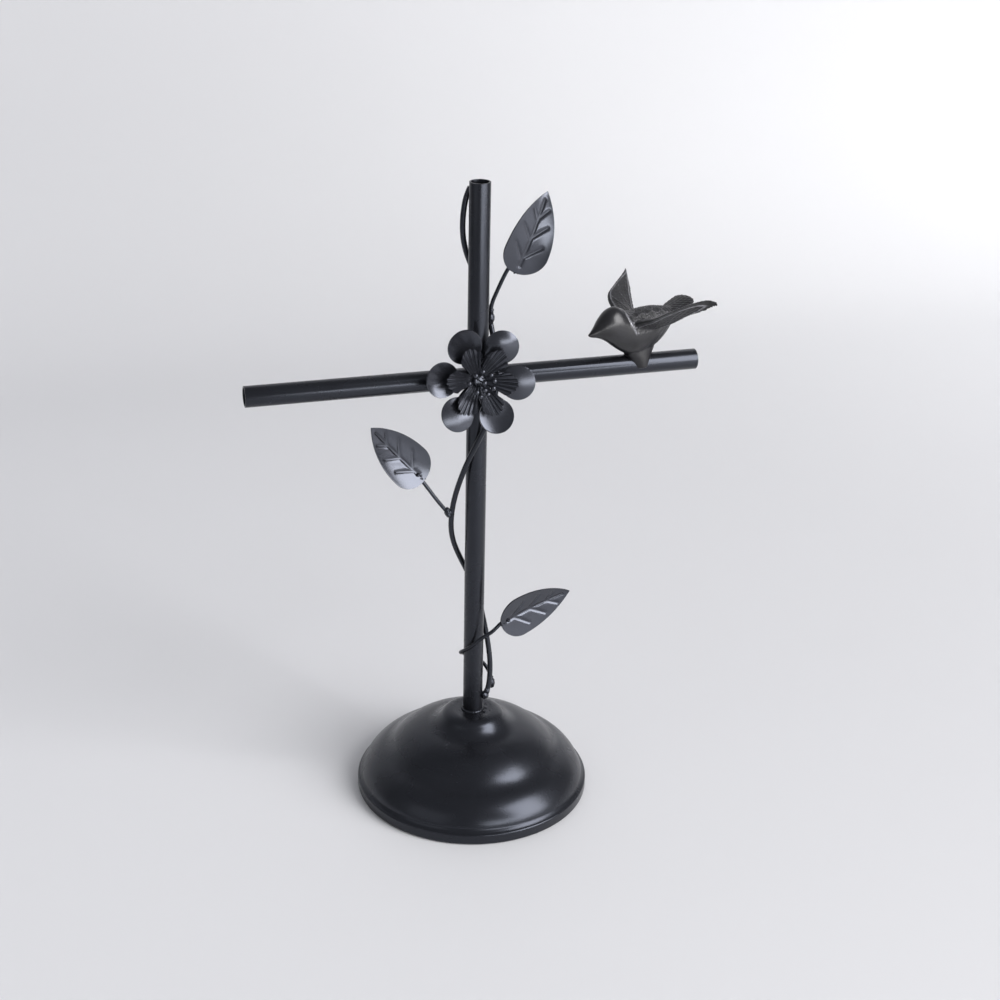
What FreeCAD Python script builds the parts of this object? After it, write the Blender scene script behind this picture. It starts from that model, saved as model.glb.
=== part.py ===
import FreeCAD, Part
import math
import os

# Decorative steel stand with two arms for hanging mugs: a stepped round base, an upright
# tube, a level crossbar made of two arms, a wire vine with three leaves, a flower on the
# crossing and a cast bird perched on the right arm.
# Millimetres. The origin is on the floor under the post. +Z is up, +X runs along the
# crossbar towards the bird, and the flower looks towards -Y.

os.makedirs("parts", exist_ok=True)

V = FreeCAD.Vector
X_AXIS, Y_AXIS, Z_AXIS = V(1, 0, 0), V(0, 1, 0), V(0, 0, 1)

# ---- driving dimensions -------------------------------------------------------------
TUBE_RADIUS = 6.35            # half-inch tube, outside
TUBE_WALL = 1.0
OVERALL_HEIGHT = 404.0
BAR_HEIGHT = 285.0            # axis of both arms
ARM_REACH = 140.5             # post axis to the open end of an arm
WELD_LEG = 1.6                # size of the fillet beads between tubes

BASE_RADIUS = 75.5
BASE_SHEET = 1.2
LIP_TOP = 7.0                 # top of the upright lip round the base
LIP_FOOT = 0.5                # the lip hangs this far above the floor, the pad touches it
CROWN_HEIGHT = 55.0
CROWN_FLAT_RADIUS = 16.0      # flat disc that the post stands on
PAD_RADIUS, PAD_THICKNESS = 73.5, 2.0
BALLAST_RADIUS, BALLAST_THICKNESS = 70.5, 6.0

VINE_RADIUS = 1.7
STEM_RADIUS = 1.2
KNOT_RADIUS = 2.9             # weld ball where a stem leaves the vine
TACK_RADIUS = 1.6             # spot weld on the back of a leaf
TOP_WELD_RADIUS, FOOT_WELD_RADIUS = 2.2, 3.0     # welds at the two ends of the vine

LEAF_LENGTH, LEAF_HALF_WIDTH, LEAF_SHEET = 51.2, 14.0, 0.8

FLOWER_HUB = V(-2.6, -9.6, 286.9)
FLOWER_TILT = 10.0            # degrees that the flower looks upwards
FLOWER_SPIN = -7.0            # degrees that its petals are turned about its own axis
FLOWER_SHEET = 0.8

BIRD_X = 102.0                # middle of the bird's foot along the right arm
BIRD_TURN = 20.0              # degrees that the beak turns from -X towards -Y

# The vine winds down the post: angle about the post in degrees, distance of the wire's
# middle from the post axis, height.
VINE_ROUTE = [
    (124, 8.1, 398.5), (140, 9.5, 390.5), (146, 10.3, 379), (139, 10.3, 369), (123, 9.8, 360),
    (103, 9.4, 352), (82, 9.0, 344), (58, 9.0, 334.5), (32, 8.9, 324), (12, 8.8, 314.5),
    (-10, 9.8, 306), (-27, 11.8, 296), (-42, 12.9, 285), (-55, 12.6, 272), (-75, 11.0, 258),
    (-110, 9.2, 243.5), (-141, 9.7, 232), (-166, 10.9, 220), (-184, 12.9, 208),
    (-193, 14.6, 196), (-197, 15.1, 184.5), (-206, 13.6, 174), (-222, 11.4, 164.5),
    (-248, 9.6, 154), (-275, 9.0, 144), (-306, 9.0, 130.5), (-332, 9.4, 114),
    (-356, 10.2, 99), (-369, 11.0, 86), (-377, 10.4, 74), (-383, 8.15, 65.5),
]
# The lowest stem springs from the vine, passes behind the post and comes round to the front.
TENDRIL_ROUTE = [
    (-7, 12.9, 72.5), (-1, 12.3, 76.8), (9, 10.7, 81), (30, 9.1, 85), (62, 8.4, 88), (100, 8.2, 91),
    (140, 8.2, 94), (175, 8.3, 97.3), (210, 8.3, 101), (243, 8.8, 105), (270, 10.2, 110.5),
]


# ---- helpers ------------------------------------------------------------------------
def save(shape, node):
    """Writes one sub-part and prints its volume."""
    shape.exportStep("parts/" + node + ".step")
    print(node, "valid", shape.isValid(), "solids", len(shape.Solids), "mm3", round(shape.Volume, 1))


def polar(angle_deg, radius, height):
    """A point given round the post axis."""
    angle = math.radians(angle_deg)
    return V(radius * math.cos(angle), radius * math.sin(angle), height)


def rounded_wire(points):
    """Straight runs joined by tangent arcs, each arc as large as its two runs allow."""
    edges = []
    start = points[0]
    for before, corner, after in zip(points, points[1:], points[2:]):
        back = (before - corner).normalize()
        ahead = (after - corner).normalize()
        shorter = min(before.distanceToPoint(corner), after.distanceToPoint(corner))
        reach = 0.45 * shorter
        enter = corner + back * reach
        leave = corner + ahead * reach
        half_angle = back.getAngle(ahead) / 2.0
        arc_radius = reach * math.tan(half_angle)
        middle_line = (back + ahead).normalize()
        to_centre = reach / math.cos(half_angle)
        on_arc = corner + middle_line * (to_centre - arc_radius)
        edges.append(Part.LineSegment(start, enter).toShape())
        edges.append(Part.Arc(enter, on_arc, leave).toShape())
        start = leave
    edges.append(Part.LineSegment(start, points[-1]).toShape())
    return Part.Wire(edges)


def round_bar(points, radius, label):
    """A solid round wire along a route, with its volume compared with section times length."""
    path = rounded_wire(points)
    heading = points[1] - points[0]
    ring = Part.Wire([Part.Circle(points[0], heading, radius).toShape()])
    bar = path.makePipeShell([ring], True, False)
    expected = math.pi * radius ** 2 * path.Length
    print(label, "length", round(path.Length, 1), "volume ratio", round(bar.Volume / expected, 4))
    return bar


def tube(start, heading, length):
    """Open tube of the stand's one tube size."""
    outside = Part.makeCylinder(TUBE_RADIUS, length, start, heading)
    inside = Part.makeCylinder(TUBE_RADIUS - TUBE_WALL, length, start, heading)
    return outside.cut(inside)


def frame_at(origin, x_dir, z_dir):
    """Placement that puts a shape's +X along x_dir and its +Z as near z_dir as it can."""
    x_unit = V(x_dir).normalize()
    z_unit = z_dir - x_unit * z_dir.dot(x_unit)
    z_unit.normalize()
    y_unit = z_unit.cross(x_unit)
    turn = FreeCAD.Rotation(x_unit, y_unit, z_unit, "XYZ")
    return FreeCAD.Placement(origin, turn)


def placed(shape, placement):
    moved = shape.copy()
    moved.Placement = placement.multiply(moved.Placement)
    return moved


# ---- base ---------------------------------------------------------------------------
def dome_block(inset):
    """Solid under the stepped dome, drawn in by inset: flat crown, three rounded tiers with
    a narrow groove under each, and an upright lip."""
    def point(radius, height):
        return V(radius - inset, 0, height - inset)

    rounds = [
        (CROWN_FLAT_RADIUS, CROWN_HEIGHT), (17.1, 54.6), (17.6, 53.4),   # crown's edge
        (25.8, 50.0), (31.5, 43.8),                                      # first tier
        (32.2, 42.6), (33.5, 42.0),                                      # its groove
        (47.2, 35.8), (56.2, 27.0),                                      # second tier
        (57.1, 25.6), (58.6, 25.0),                                      # its groove
        (68.6, 18.6), (73.4, 9.4),                                       # third tier
        (74.1, 8.0), (BASE_RADIUS, LIP_TOP),                             # shoulder of the lip
    ]
    points = [point(radius, height) for radius, height in rounds]
    centre_top = V(0, 0, CROWN_HEIGHT - inset)
    rim_foot = V(BASE_RADIUS - inset, 0, LIP_FOOT)
    centre_foot = V(0, 0, LIP_FOOT)
    edges = [Part.LineSegment(centre_top, points[0]).toShape()]
    for first in range(0, len(points) - 2, 2):
        edges.append(Part.Arc(*points[first:first + 3]).toShape())
    edges.append(Part.LineSegment(points[-1], rim_foot).toShape())
    edges.append(Part.LineSegment(rim_foot, centre_foot).toShape())
    edges.append(Part.LineSegment(centre_foot, centre_top).toShape())
    return Part.Face(Part.Wire(edges)).revolve(V(0, 0, 0), Z_AXIS, 360)


def base_dome():
    return dome_block(0.0).cut(dome_block(BASE_SHEET))


def foot_pad():
    return Part.makeCylinder(PAD_RADIUS, PAD_THICKNESS)


def ballast():
    disc = Part.makeCylinder(BALLAST_RADIUS, BALLAST_THICKNESS, V(0, 0, PAD_THICKNESS))
    return disc.makeChamfer(1.0, disc.Edges)


# ---- tubes and their welds ------------------------------------------------------------
def post():
    return tube(V(0, 0, CROWN_HEIGHT), Z_AXIS, OVERALL_HEIGHT - CROWN_HEIGHT)


def arm(side):
    """Open tube whose inner end is shaped to sit against the post."""
    heading = V(side, 0, 0)
    whole = tube(V(0, 0, BAR_HEIGHT), heading, ARM_REACH)
    seat = Part.makeCylinder(TUBE_RADIUS, 4 * TUBE_RADIUS, V(0, 0, BAR_HEIGHT - 2 * TUBE_RADIUS))
    return whole.cut(seat)


def arm_weld(side):
    """Bead round the joint: the space within one weld leg of both the post and the arm."""
    bead_radius = TUBE_RADIUS + WELD_LEG
    low_end = V(0, 0, BAR_HEIGHT - 2 * TUBE_RADIUS)
    near_post = Part.makeCylinder(bead_radius, 4 * TUBE_RADIUS, low_end)
    near_arm = Part.makeCylinder(bead_radius, 2 * bead_radius, V(0, 0, BAR_HEIGHT), V(side, 0, 0))
    solid_post = Part.makeCylinder(TUBE_RADIUS, 4 * TUBE_RADIUS, low_end)
    solid_arm = Part.makeCylinder(TUBE_RADIUS, 2 * bead_radius, V(0, 0, BAR_HEIGHT), V(side, 0, 0))
    start_gap = Part.makeBox(1.0, 4 * TUBE_RADIUS, 4 * TUBE_RADIUS,
                             V(-0.5, -2 * TUBE_RADIUS, BAR_HEIGHT - 2 * TUBE_RADIUS))
    return near_post.common(near_arm).cut(solid_post).cut(solid_arm).cut(start_gap)


def post_weld():
    """Fillet bead where the post stands on the crown."""
    cone = Part.makeCone(TUBE_RADIUS + WELD_LEG, TUBE_RADIUS, WELD_LEG, V(0, 0, CROWN_HEIGHT))
    return cone.cut(Part.makeCylinder(TUBE_RADIUS, 2 * WELD_LEG, V(0, 0, CROWN_HEIGHT)))


# ---- vine, stems and their welds -------------------------------------------------------
VINE_POINTS = [polar(*place) for place in VINE_ROUTE]
LEAVES = {
    # leaf: base, tip, the way that its hollow side faces, and its two cupping radii, one along
    # its length and one across it
    "upper": (V(21.9, -2.7, 348.7), V(40.5, 0.4, 394.2), V(0.05, -0.99, 0.05), 250.0, 75.0),
    "middle": (V(-31.2, 5.4, 218.6), V(-64.8, 2.8, 257.2), V(0.28, -0.94, 0.18), 135.0, 120.0),
    "lower": (V(13.9, -14.8, 122.4), V(62.4, -5.0, 135.2), V(0.20, -0.98, -0.03), 185.0, 35.0),
}
STEM_TUCK = 7.0               # how far a stem runs on behind its leaf
STEM_ENTRY = {"upper": 5.4, "middle": 0.9, "lower": -0.6}   # sideways from the leaf's heel


def leaf_frame(leaf):
    """Placement with +X from the leaf's base to its tip and +Z out of its hollow side."""
    base, tip, facing = LEAVES[leaf][:3]
    return frame_at(base, tip - base, facing)


def stem_route(leaf):
    """Points of a leaf's stem, from its weld on the vine to its end behind the leaf."""
    on_leaf = leaf_frame(leaf)
    behind = -(STEM_RADIUS + LEAF_SHEET)
    end = [on_leaf.multVec(V(0, STEM_ENTRY[leaf], behind + 0.4)),
           on_leaf.multVec(V(STEM_TUCK, 0.4 * STEM_ENTRY[leaf], behind - 0.9))]
    if leaf == "upper":
        return [V(7.7, 1.8, 321.5), V(8.0, 1.5, 328.5)] + end
    if leaf == "middle":
        return [V(-16.4, 4.0, 195.0), V(-24.2, 4.6, 205.4)] + end
    return [polar(*place) for place in TENDRIL_ROUTE] + [V(6.8, -13.2, 116.4)] + end


def knot(centre, vine_wire, stem_wire):
    """Weld ball round the place where a stem leaves the vine."""
    ball = Part.makeSphere(KNOT_RADIUS, centre).cut(vine_wire).cut(stem_wire)
    return ball.cut(Part.makeCylinder(TUBE_RADIUS, OVERALL_HEIGHT))


def vine_end_weld(centre, vine_wire, radius):
    """Weld that holds an end of the vine against the post."""
    solid_post = Part.makeCylinder(TUBE_RADIUS, OVERALL_HEIGHT)
    return Part.makeSphere(radius, centre).cut(vine_wire).cut(solid_post)


# ---- leaves ----------------------------------------------------------------------------
def leaf_outline():
    """Pointed oval with a blunt base: two arcs on each side of the midrib."""
    widest = LEAF_HALF_WIDTH
    base, tip = V(0, 0, 0), V(LEAF_LENGTH, 0, 0)
    edges = []
    for side in (1, -1):
        heel = V(0.05 * LEAF_LENGTH, side * 0.6 * widest, 0)
        shoulder = V(0.24 * LEAF_LENGTH, side * widest, 0)
        flank = V(0.66 * LEAF_LENGTH, side * 0.74 * widest, 0)
        edges.append(Part.Arc(base, heel, shoulder).toShape())
        edges.append(Part.Arc(shoulder, flank, tip).toShape())
    return Part.Face(Part.Wire([edges[0], edges[1], edges[3], edges[2]]))


def leaf(name):
    """Stamped sheet, cupped like a shallow spoon, set between its base and its tip."""
    along, across = LEAVES[name][3:]
    half = LEAF_LENGTH / 2.0
    centre = V(half, 0, math.sqrt(along ** 2 - half ** 2))
    bowl = Part.makeTorus(along - across, across, centre, Y_AXIS)
    bowl = bowl.cut(Part.makeTorus(along - across, across - LEAF_SHEET, centre, Y_AXIS))
    blank = leaf_outline().extrude(V(0, 0, 20))
    blank.translate(V(0, 0, -10))
    return placed(bowl.common(blank), leaf_frame(name))


def leaf_tacks(name):
    """Two spot welds between a leaf's back and its stem."""
    placement = leaf_frame(name)
    spots = []
    for share in (0.25, 0.75):
        along = share * STEM_TUCK
        sideways = STEM_ENTRY[name] * (1.0 - 0.6 * share)
        spot = placed(Part.makeSphere(TACK_RADIUS, V(along, sideways, -LEAF_SHEET)), placement)
        spot = spot.cut(SHAPES[name + "_leaf"]).cut(SHAPES[name + "_stem"])
        spots.append(max(spot.Solids, key=lambda piece: piece.Volume))
    return Part.makeCompound(spots)


# ---- flower ----------------------------------------------------------------------------
PETAL_COUNT = 6
PETAL_ROUND, PETAL_CENTRE = 10.5, 24.2
PETAL_CUP_RADIUS, PETAL_RISE = 13.0, 12.0
INNER_REACH, INNER_CUP_RADIUS, INNER_RISE = 24.4, 9.5, 20.0
STAMEN_REACH, BEAD_RADIUS = 8.2, 1.3
STAMEN_FEET, STALK_RADIUS = 2.4, 0.45
STAMEN_FALL = 1.6             # the outermost beads stand this much lower than the middle one
FLOWER_TURN = FreeCAD.Rotation(X_AXIS, 90.0 - FLOWER_TILT)
FLOWER_TURN = FLOWER_TURN.multiply(FreeCAD.Rotation(Z_AXIS, FLOWER_SPIN))
FLOWER_FRAME = FreeCAD.Placement(FLOWER_HUB, FLOWER_TURN)


def trough(outline_face, cup_radius, rise):
    """Part of a half pipe cut to an outline, tipped up from the hub by rise degrees."""
    reach = 60.0
    centre = V(0, 0, cup_radius)
    pipe = Part.makeCylinder(cup_radius, reach, centre, X_AXIS)
    pipe = pipe.cut(Part.makeCylinder(cup_radius - FLOWER_SHEET, reach, centre, X_AXIS))
    sheet = pipe.common(outline_face.extrude(V(0, 0, cup_radius)))
    sheet.rotate(V(0, 0, 0), Y_AXIS, -rise)
    return sheet


def outer_petal():
    """Round petal on a narrow neck."""
    neck_half, root = 3.4, 2.0
    near = V(PETAL_CENTRE - math.sqrt(PETAL_ROUND ** 2 - 5.0 ** 2), 5.0, 0)
    far = V(PETAL_CENTRE + PETAL_ROUND, 0, 0)
    mirror = V(near.x, -near.y, 0)
    edges = [
        Part.LineSegment(V(root, neck_half, 0), near).toShape(),
        Part.Arc(near, far, mirror).toShape(),
        Part.LineSegment(mirror, V(root, -neck_half, 0)).toShape(),
        Part.LineSegment(V(root, -neck_half, 0), V(root, neck_half, 0)).toShape(),
    ]
    return trough(Part.Face(Part.Wire(edges)), PETAL_CUP_RADIUS, PETAL_RISE)


def inner_petal():
    """Fan that widens from the hub to a rounded tip."""
    root, root_half, tip_half = 2.0, 2.0, 7.8
    shoulder = 0.86 * INNER_REACH
    edges = [
        Part.LineSegment(V(root, root_half, 0), V(shoulder, tip_half, 0)).toShape(),
        Part.Arc(V(shoulder, tip_half, 0), V(INNER_REACH, 0, 0), V(shoulder, -tip_half, 0)).toShape(),
        Part.LineSegment(V(shoulder, -tip_half, 0), V(root, -root_half, 0)).toShape(),
        Part.LineSegment(V(root, -root_half, 0), V(root, root_half, 0)).toShape(),
    ]
    return trough(Part.Face(Part.Wire(edges)), INNER_CUP_RADIUS, INNER_RISE)


def rosette(petal, hub_radius, hub_height, lift):
    """Six petals round a hub, stamped as one piece."""
    whole = Part.makeCylinder(hub_radius, hub_height, V(0, 0, 0))
    for index in range(PETAL_COUNT):
        turned = petal.copy()
        turned.rotate(V(0, 0, 0), Z_AXIS, 360.0 / PETAL_COUNT * index)
        whole = whole.fuse(turned)
    whole.translate(V(0, 0, lift))
    return placed(whole.removeSplitter(), FLOWER_FRAME)


# Stamens: reach from the middle as a share of the cluster's radius, and angle in degrees.
STAMEN_PLACES = [(0.0, 0)]
STAMEN_PLACES += [(0.5, 60 + 120 * k) for k in range(3)]
STAMEN_PLACES += [(1.0, 20 + 51.4 * k) for k in range(7)]
STAMEN_SPREAD = 7.2
STAMEN_LEAN = V(-2.0, 1.4, 0)  # the whole bunch leans this way


def ball_pin(foot, bead):
    """Wire with a pointed foot and a ball tip, turned about its own axis."""
    reach = foot.distanceToPoint(bead)
    neck = reach - math.sqrt(BEAD_RADIUS ** 2 - STALK_RADIUS ** 2)
    profile = Part.Wire([
        Part.LineSegment(V(0, 0, 0), V(STALK_RADIUS, 0, 1.0)).toShape(),
        Part.LineSegment(V(STALK_RADIUS, 0, 1.0), V(STALK_RADIUS, 0, neck)).toShape(),
        Part.Arc(V(STALK_RADIUS, 0, neck), V(BEAD_RADIUS, 0, reach), V(0, 0, reach + BEAD_RADIUS)).toShape(),
        Part.LineSegment(V(0, 0, reach + BEAD_RADIUS), V(0, 0, 0)).toShape(),
    ])
    pin = Part.Face(profile).revolve(V(0, 0, 0), Z_AXIS, 360)
    return placed(pin, FreeCAD.Placement(foot, FreeCAD.Rotation(Z_AXIS, bead - foot)))


def stamens():
    """Ball-tipped wires that lean out from the boss."""
    pins = []
    for share, angle in STAMEN_PLACES:
        turn = math.radians(angle)
        foot_spread, bead_spread = STAMEN_FEET * share, STAMEN_SPREAD * share
        foot = V(foot_spread * math.cos(turn), foot_spread * math.sin(turn), BOSS_TOP)
        bead = V(bead_spread * math.cos(turn), bead_spread * math.sin(turn),
                 BOSS_TOP + STAMEN_REACH - STAMEN_FALL * share) + STAMEN_LEAN
        pins.append(placed(ball_pin(foot, bead), FLOWER_FRAME))
    return Part.makeCompound(pins)


INNER_LIFT = 1.6              # the inner rosette sits this far in front of the outer one's hub
BOSS_TOP = INNER_LIFT + 3.0


def flower_boss():
    """Small button that clamps both rosettes and carries the stamens."""
    button = placed(Part.makeCylinder(3.4, 1.4, V(0, 0, BOSS_TOP - 1.4)), FLOWER_FRAME)
    button = button.cut(SHAPES["inner_petals"])
    return max(button.Solids, key=lambda piece: piece.Volume)


def flower_stud():
    """Short peg from the crossing to the back of the flower."""
    back = FLOWER_FRAME.multVec(V(0, 0, -0.02))
    peg = Part.makeCylinder(3.2, 14.0, back, FLOWER_FRAME.Rotation.multVec(V(0, 0, -1)))
    peg = peg.cut(Part.makeCylinder(TUBE_RADIUS, OVERALL_HEIGHT))
    peg = peg.cut(Part.makeCylinder(TUBE_RADIUS, 40, V(-20, 0, BAR_HEIGHT), X_AXIS))
    peg = peg.cut(SHAPES["left_arm_weld"]).cut(SHAPES["right_arm_weld"])
    return max(peg.Solids, key=lambda piece: -piece.CenterOfMass.y)


# ---- bird ------------------------------------------------------------------------------
BIRD_TOP = BAR_HEIGHT + TUBE_RADIUS
BIRD_FRAME = FreeCAD.Placement(V(BIRD_X, 0, BIRD_TOP), FreeCAD.Rotation(Z_AXIS, 180.0 + BIRD_TURN))


def slice_across(forward, sideways, height, half_width, half_height):
    """Upright oval across the bird, facing forward."""
    centre = V(forward, sideways, height)
    if half_width >= half_height:
        oval = Part.Ellipse(centre + V(0, half_width, 0), centre + V(0, 0, half_height), centre)
    else:
        oval = Part.Ellipse(centre + V(0, 0, half_height), centre + V(0, half_width, 0), centre)
    return Part.Wire([oval.toShape()])


def slice_across_flat(height, half_length, half_width):
    """Level oval at a height, long along the bird or across it."""
    centre = V(0, 0, height)
    along, across = V(half_length, 0, 0), V(0, half_width, 0)
    if half_length >= half_width:
        oval = Part.Ellipse(centre + along, centre + across, centre)
    else:
        oval = Part.Ellipse(centre + across, centre + along, centre)
    return Part.Wire([oval.toShape()])


def wing_slice(side, sideways, forward, height, half_chord, half_depth, droop):
    """Slanting oval across a wing: its rear edge lies droop lower than its front edge."""
    centre = V(forward, side * sideways, height)
    chord = V(half_chord, 0, 0.5 * droop)
    across = V(-chord.z, 0, chord.x).normalize() * half_depth
    return Part.Wire([Part.Ellipse(centre + chord, centre + across, centre).toShape()])


def bird():
    """One casting: body with head and beak, raised tail, two spread wings, saddle foot."""
    body = Part.makeLoft([
        slice_across(-28.5, 0, 20.6, 3.2, 4.6), slice_across(-22, 0, 18.2, 5.8, 8.0),
        slice_across(-12, 0, 14.6, 8.4, 11.6), slice_across(0, 0, 13.6, 9.4, 12.8),
        slice_across(9, 0, 14.6, 9.4, 12.4), slice_across(16, 0, 17.4, 8.6, 12.6),
        slice_across(23, 0, 21.8, 7.8, 10.8), slice_across(29, 0, 22.4, 5.9, 7.4),
        slice_across(33, 0, 21.2, 3.4, 4.2), slice_across(39.2, 0, 19.0, 0.7, 0.6)], True)
    tail = Part.makeLoft([
        slice_across(-16, 0, 20.0, 5.5, 3.4), slice_across(-27, 0, 23.4, 6.6, 2.2),
        slice_across(-35, 0, 27.0, 6.8, 1.6), slice_across(-39.5, 0, 28.0, 3.0, 0.9)], True)
    whole = body.fuse(tail)
    for side in (1, -1):
        wing = Part.makeLoft([
            wing_slice(side, 5, 1.0, 19.4, 9.0, 4.0, 5.0),
            wing_slice(side, 14, 0.0, 23.6, 9.4, 2.8, 5.2),
            wing_slice(side, 24, -4.6, 29.0, 9.6, 2.2, 4.8),
            wing_slice(side, 31, -12.4, 33.8, 7.0, 1.8, 6.0),
            wing_slice(side, 37, -19.6, 37.2, 3.8, 1.2, 5.6),
            wing_slice(side, 42, -24.0, 38.4, 1.4, 0.5, 1.4)], True)
        whole = whole.fuse(wing)
    legs = Part.makeLoft([
        slice_across_flat(-5.4, 5.6, 8.2), slice_across_flat(0.5, 9.0, 7.4),
        slice_across_flat(9.0, 10.0, 7.0)], True)
    whole = placed(whole.fuse(legs), BIRD_FRAME)
    return whole.cut(Part.makeCylinder(TUBE_RADIUS, ARM_REACH, V(0, 0, BAR_HEIGHT), X_AXIS))


# ---- build -----------------------------------------------------------------------------
SHAPES = {}
SHAPES["base_dome"] = base_dome()
SHAPES["foot_pad"] = foot_pad()
SHAPES["base_ballast"] = ballast()
SHAPES["post"] = post()
SHAPES["post_weld"] = post_weld()
for arm_name, side in (("left", -1), ("right", 1)):
    SHAPES[arm_name + "_arm"] = arm(side)
    SHAPES[arm_name + "_arm_weld"] = arm_weld(side)

SHAPES["vine"] = round_bar(VINE_POINTS, VINE_RADIUS, "vine")
for name in LEAVES:
    route = stem_route(name)
    stem = round_bar(route, STEM_RADIUS, name + "_stem").cut(SHAPES["vine"])
    SHAPES[name + "_stem"] = max(stem.Solids, key=lambda piece: piece.Volume)
    SHAPES[name + "_knot"] = knot(route[0], SHAPES["vine"], SHAPES[name + "_stem"])
    SHAPES[name + "_leaf"] = leaf(name)
    SHAPES[name + "_leaf_tacks"] = leaf_tacks(name)
SHAPES["vine_top_weld"] = vine_end_weld(VINE_POINTS[0], SHAPES["vine"], TOP_WELD_RADIUS)
SHAPES["vine_foot_weld"] = vine_end_weld(VINE_POINTS[-1], SHAPES["vine"], FOOT_WELD_RADIUS)

SHAPES["outer_petals"] = rosette(outer_petal(), 5.0, FLOWER_SHEET, 0.0)
inner_rosette = rosette(inner_petal(), 4.0, FLOWER_SHEET, INNER_LIFT).cut(SHAPES["outer_petals"])
SHAPES["inner_petals"] = max(inner_rosette.Solids, key=lambda piece: piece.Volume)
SHAPES["flower_boss"] = flower_boss()
SHAPES["stamens"] = stamens()
SHAPES["flower_stud"] = flower_stud()

SHAPES["bird"] = bird()

for node, shape in SHAPES.items():
    save(shape, node)
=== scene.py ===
import math

import bpy
from mathutils import Matrix, Vector, noise


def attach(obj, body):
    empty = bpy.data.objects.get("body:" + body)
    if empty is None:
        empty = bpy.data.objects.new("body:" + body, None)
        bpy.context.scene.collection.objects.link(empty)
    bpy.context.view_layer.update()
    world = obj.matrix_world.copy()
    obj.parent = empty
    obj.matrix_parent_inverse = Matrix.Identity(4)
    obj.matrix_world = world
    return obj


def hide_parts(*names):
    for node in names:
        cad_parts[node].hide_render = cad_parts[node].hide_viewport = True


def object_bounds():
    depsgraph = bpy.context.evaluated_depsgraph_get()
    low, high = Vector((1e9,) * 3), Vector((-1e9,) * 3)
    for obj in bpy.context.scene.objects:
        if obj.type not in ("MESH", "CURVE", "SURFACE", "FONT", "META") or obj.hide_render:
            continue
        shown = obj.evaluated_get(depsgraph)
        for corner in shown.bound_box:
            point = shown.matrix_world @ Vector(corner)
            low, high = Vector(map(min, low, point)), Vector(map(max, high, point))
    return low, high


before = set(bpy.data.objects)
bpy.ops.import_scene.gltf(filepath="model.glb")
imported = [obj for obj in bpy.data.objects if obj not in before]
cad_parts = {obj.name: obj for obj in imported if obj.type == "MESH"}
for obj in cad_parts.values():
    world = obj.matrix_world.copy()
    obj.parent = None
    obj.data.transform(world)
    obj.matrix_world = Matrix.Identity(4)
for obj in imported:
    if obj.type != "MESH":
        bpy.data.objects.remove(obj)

bl_info = {
    "name": "Flower and Bird Mug Stand",
    "version": (1, 0, 0),
    "blender": (4, 5, 0),
    "location": "3D View > Sidebar > Mug Stand",
    "description": "Builds the visible pieces and finishes of a black steel mug stand",
    "category": "Object",
}

CAD_LOW, CAD_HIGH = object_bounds()
MM = 0.001

# Where the pieces sit, in millimetres, as in the part's own drawing.
CROWN_HEIGHT = 55.0
LEAVES = {
    # base, tip, way that the veined side faces, bow along the leaf (a minus bulges forward),
    # fold across it
    "upper": ((21.9, -2.7, 348.7), (40.5, 0.4, 394.2), (0.05, -0.99, 0.05), -0.0034, 0.050),
    "middle": ((-31.2, 5.4, 218.6), (-64.8, 2.8, 257.2), (0.28, -0.94, 0.18), 0.0037, 0.030),
    "lower": ((13.9, -14.8, 122.4), (62.4, -5.0, 135.2), (0.20, -0.98, -0.03), 0.0027, 0.200),
}
# The vine: angle about the post in degrees, distance from its axis, height.
VINE_ROUTE = [
    (122, 7.6, 399.5), (128, 8.6, 396.5), (140, 9.7, 390.5), (146, 10.5, 379), (139, 10.5, 369),
    (123, 10.0, 360), (103, 9.6, 352), (82, 9.2, 344), (58, 9.2, 334.5), (32, 9.1, 324),
    (12, 9.0, 314.5), (-10, 10.1, 306), (-27, 12.1, 296), (-42, 13.3, 285), (-55, 13.0, 272),
    (-75, 11.3, 258), (-110, 9.5, 243.5), (-141, 10.0, 232), (-166, 11.1, 220), (-184, 13.1, 208),
    (-193, 14.8, 196), (-197, 15.3, 184.5), (-206, 13.8, 174), (-222, 11.6, 164.5),
    (-248, 9.9, 154), (-275, 9.3, 144), (-306, 9.3, 130.5), (-332, 9.6, 114),
    (-356, 10.4, 99), (-369, 11.2, 86), (-377, 10.6, 74), (-382, 9.0, 67.5), (-384, 8.0, 64.0),
]
TENDRIL_ROUTE = [
    (-7, 12.9, 71.5), (-3, 12.6, 75), (9, 11.0, 81), (30, 9.4, 85), (62, 8.9, 88), (100, 8.7, 91),
    (140, 8.7, 94), (175, 8.7, 97.3), (210, 8.8, 101), (243, 9.3, 105), (270, 10.6, 110.5),
]


def polar(angle_deg, radius, height):
    angle = math.radians(angle_deg)
    return Vector((radius * math.cos(angle), radius * math.sin(angle), height))


def frame_at(origin, x_dir, z_dir):
    """Matrix that puts +X along x_dir and +Z as near z_dir as it can, in millimetres."""
    x_unit = Vector(x_dir).normalized()
    z_unit = (Vector(z_dir) - x_unit * Vector(z_dir).dot(x_unit)).normalized()
    y_unit = z_unit.cross(x_unit)
    turn = Matrix((x_unit, y_unit, z_unit)).transposed().to_4x4()
    return Matrix.Translation(Vector(origin)) @ turn


# How far beside a leaf's midrib its stem comes in.
STEM_ENTRY = {"upper": 5.4, "middle": 0.9, "lower": -0.6}
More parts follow.
